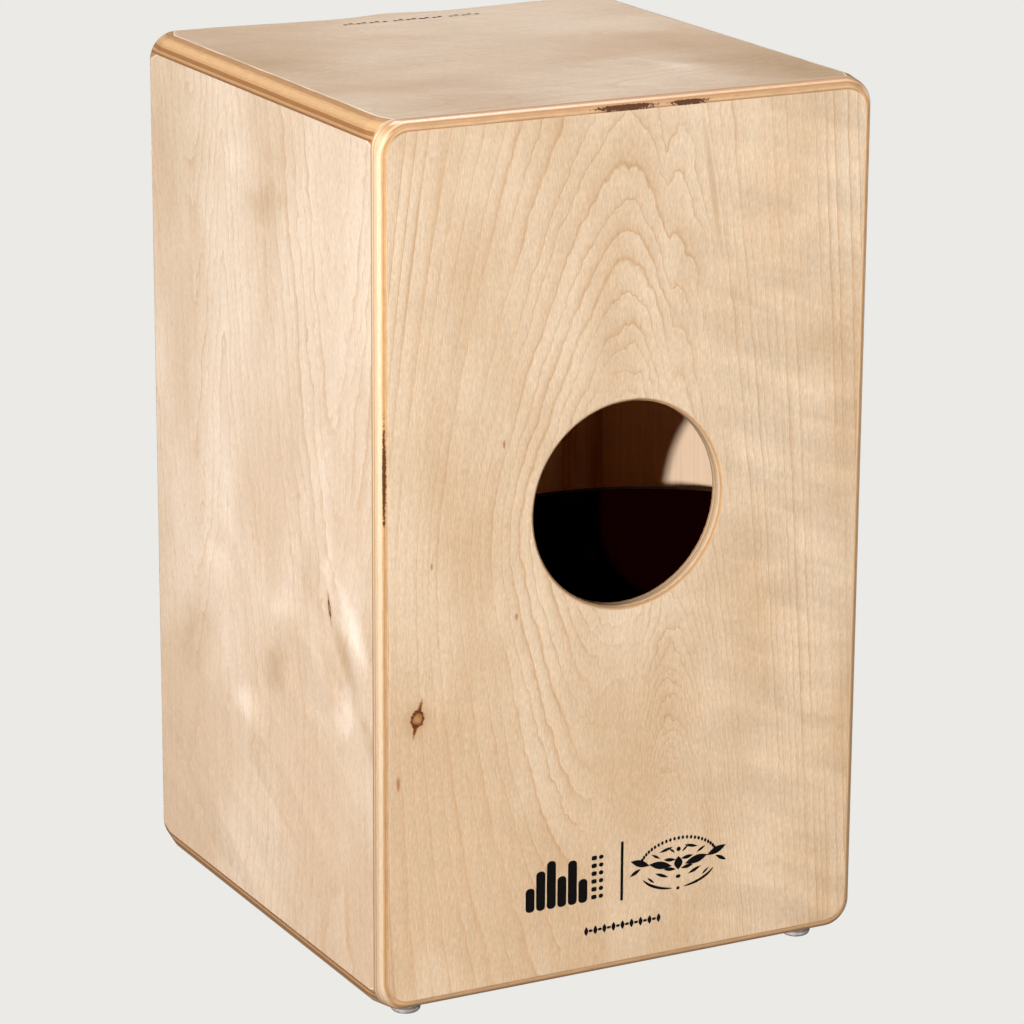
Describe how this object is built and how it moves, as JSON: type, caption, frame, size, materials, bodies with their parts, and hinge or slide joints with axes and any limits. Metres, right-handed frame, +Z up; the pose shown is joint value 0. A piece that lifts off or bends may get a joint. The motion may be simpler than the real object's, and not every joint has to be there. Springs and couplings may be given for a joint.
{
  "type": "cajon",
  "caption": "Box drum to sit on: plywood box with a round sound hole at the back, a thin playing face, and snare strings tightened from below.",
  "frame": {"origin": "on the floor, under the middle of the box: bottom centre of the bounding box", "axes": "+Z up out of the seat; +Y out of the playing face (tapa); the sound hole is in the back, which faces -Y; +X to the right as seen from behind"},
  "size_m": [0.3, 0.3, 0.5],
  "materials": {
    "box_plywood": "clear satin lacquer over light veneer",
    "tapa_plywood": "clear satin lacquer over light veneer",
    "frame_wood": "raw planed softwood",
    "baffle_board": "black stained",
    "black_felt": "matt felt",
    "foot_rubber": "clear grey, glossy",
    "zinc_steel": "zinc plated",
    "black_screws": "black oxide",
    "brass_fittings": "turned",
    "carriage_aluminium": "milled",
    "string_steel": "wound"
  },
  "bodies": {
    "box": {"anchor_screws_left": "zinc_steel", "anchor_screws_right": "zinc_steel", "back_cleat_bottom": "frame_wood", "back_cleat_left": "frame_wood", "back_cleat_right": "frame_wood", "back_cleat_top": "frame_wood", "back_panel": "box_plywood", "baffle_board": "baffle_board", "baffle_cleat_left": "frame_wood", "baffle_cleat_right": "frame_wood", "baffle_felt": "black_felt", "bottom_panel": "box_plywood", "foot_back_left": "foot_rubber", "foot_back_right": "foot_rubber", "foot_front_left": "foot_rubber", "foot_front_right": "foot_rubber", "foot_screws": "zinc_steel", "foot_washers": "zinc_steel", "front_batten_bottom_left": "frame_wood", "front_batten_bottom_right": "frame_wood", "front_batten_left": "frame_wood", "front_batten_right": "frame_wood", "front_batten_top": "frame_wood", "seat_panel": "box_plywood", "side_panel_left": "box_plywood", "side_panel_right": "box_plywood", "string_anchor_left": "frame_wood", "string_anchor_right": "frame_wood", "string_left_inner": "string_steel", "string_left_outer": "string_steel", "string_right_inner": "string_steel", "string_right_outer": "string_steel", "tapa": "tapa_plywood", "tapa_screws": "black_screws", "tension_bush_left": "brass_fittings", "tension_bush_right": "brass_fittings", "tension_guide": "frame_wood"},
    "screw_left": {"tension_screw_left": "zinc_steel", "tension_clip_left": "zinc_steel"},
    "screw_right": {"tension_screw_right": "zinc_steel", "tension_clip_right": "zinc_steel"},
    "carriage_left": {"tension_carriage_left": "carriage_aluminium", "ball_ends_left": "brass_fittings"},
    "carriage_right": {"tension_carriage_right": "carriage_aluminium", "ball_ends_right": "brass_fittings"}
  },
  "joints": [
    {"name": "tension_left_turn", "type": "hinge", "parent": "box", "child": "screw_left", "pos_m": [-0.022, 0.134, 0.0065], "axis": [0, 0, 1], "range_deg": [-720, 1440]},
    {"name": "tension_left_draw", "type": "slide", "parent": "box", "child": "carriage_left", "axis": [0, 0, -1], "range_m": [-0.002, 0.004], "deforming": ["string_left_inner", "string_left_outer"]},
    {"name": "tension_right_turn", "type": "hinge", "parent": "box", "child": "screw_right", "pos_m": [0.022, 0.134, 0.0065], "axis": [0, 0, 1], "range_deg": [-720, 1440]},
    {"name": "tension_right_draw", "type": "slide", "parent": "box", "child": "carriage_right", "axis": [0, 0, -1], "range_m": [-0.002, 0.004], "deforming": ["string_right_inner", "string_right_outer"]}
  ],
  "couplings": [
    {"joint": "tension_left_turn", "follows": "tension_left_draw", "rad_per_m": 6283.2},
    {"joint": "tension_right_turn", "follows": "tension_right_draw", "rad_per_m": 6283.2}
  ]
}
